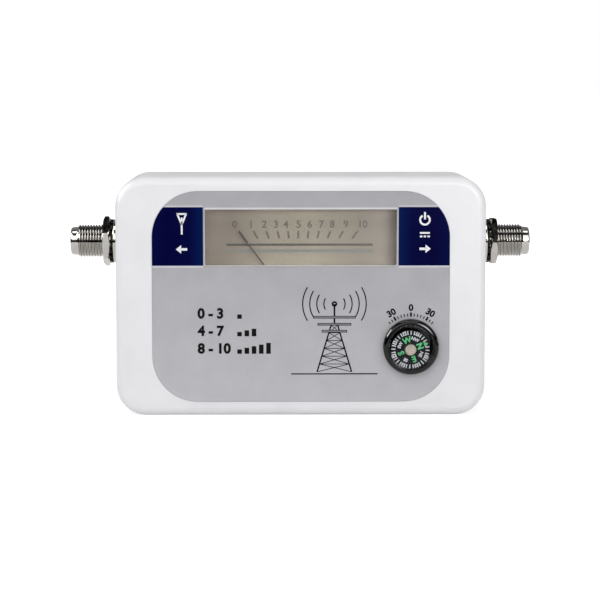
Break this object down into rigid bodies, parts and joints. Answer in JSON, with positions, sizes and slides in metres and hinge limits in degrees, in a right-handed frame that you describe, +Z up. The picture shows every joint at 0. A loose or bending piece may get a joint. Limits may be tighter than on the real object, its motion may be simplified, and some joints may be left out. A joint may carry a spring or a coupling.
{
  "type": "tv signal finder",
  "caption": "Hand-sized signal meter for aiming an aerial: a rounded case with a needle dial behind a window, a small round compass and a threaded coaxial connector on each side.",
  "frame": {"origin": "centre of the case's bottom side, on the plane where the two halves of the case meet", "axes": "+X to the right seen from the front, +Y from the front face to the back, +Z up"},
  "size_m": [0.1326, 0.0356, 0.068],
  "materials": {
    "case": "satin moulded light grey ABS",
    "label": "printed silver polyester sheet with a blue band",
    "lens": "clear acrylic",
    "meter_plastic": "satin moulded black",
    "dial": "warm grey lacquer with printed marks",
    "needle": "painted black",
    "steel": "bright steel",
    "zinc_steel": "zinc plated",
    "coil_copper": "enamelled copper wire",
    "core": "cast magnet alloy",
    "yoke": "nickel plated soft iron",
    "spacer": "natural nylon",
    "brass": "turned brass",
    "spring_bronze": "phosphor bronze strip",
    "red_wire": "PVC",
    "black_wire": "PVC",
    "board": "paper laminate board",
    "resistor": "lacquered",
    "diode": "glass body with a black band",
    "ceramic": "dipped ceramic disc",
    "electrolytic": "sleeved can",
    "transistor": "moulded epoxy",
    "ferrite": "ferrite",
    "nickel": "nickel plated brass",
    "lock_steel": "hardened spring steel, blackened in oil",
    "insulator": "natural polyethylene",
    "contact": "phosphor bronze",
    "compass_plastic": "polished black",
    "dome": "clear acrylic",
    "card": "black sheet with printed marks",
    "cap": "beige"
  },
  "bodies": {
    "case": {"front_case": "case", "rear_case": "case", "front_label": "label", "window_lens": "lens", "meter_frame": "meter_plastic", "scale_plate": "dial", "stop_pins": "steel", "case_screws": "zinc_steel", "meter_screws": "zinc_steel", "board_screws": "zinc_steel", "choke_winding": "coil_copper", "core_magnet": "core", "yoke_ring": "yoke", "core_spacers": "spacer", "movement_bracket": "brass", "front_jewel_screw": "brass", "rear_jewel_screw": "brass", "meter_terminals": "brass", "compass_pin": "brass", "front_hairspring": "spring_bronze", "rear_hairspring": "spring_bronze", "red_lead": "red_wire", "black_lead": "black_wire", "circuit_board": "board", "resistors": "resistor", "detector_diodes": "diode", "ceramic_capacitors": "ceramic", "electrolytic_capacitor": "electrolytic", "transistors": "transistor", "choke_coil": "ferrite", "left_connector_body": "nickel", "left_flat_washer": "nickel", "left_nut": "nickel", "right_connector_body": "nickel", "right_flat_washer": "nickel", "right_nut": "nickel", "left_lock_washer": "lock_steel", "right_lock_washer": "lock_steel", "left_insulator": "insulator", "right_insulator": "insulator", "left_contact": "contact", "right_contact": "contact", "compass_cup": "compass_plastic", "compass_bezel": "compass_plastic", "compass_dome": "dome"},
    "needle": {"needle": "needle", "moving_coil": "coil_copper", "pivot_staffs": "steel"},
    "card": {"compass_card": "card", "card_cap": "cap", "card_magnet": "core"}
  },
  "joints": [
    {"name": "needle_swing", "type": "hinge", "parent": "case", "child": "needle", "pos_m": [-0.0007, -0.0053, 0.0297], "axis": [0, 1, 0], "range_deg": [-2, 75.5], "stiffness_Nm_per_rad": 0.000015, "deforming": ["front_hairspring", "rear_hairspring"]},
    {"name": "compass_card_spin", "type": "hinge", "parent": "case", "child": "card", "pos_m": [0.0312, -0.015, 0.01875], "axis": [0, 1, 0], "continuous": true}
  ]
}
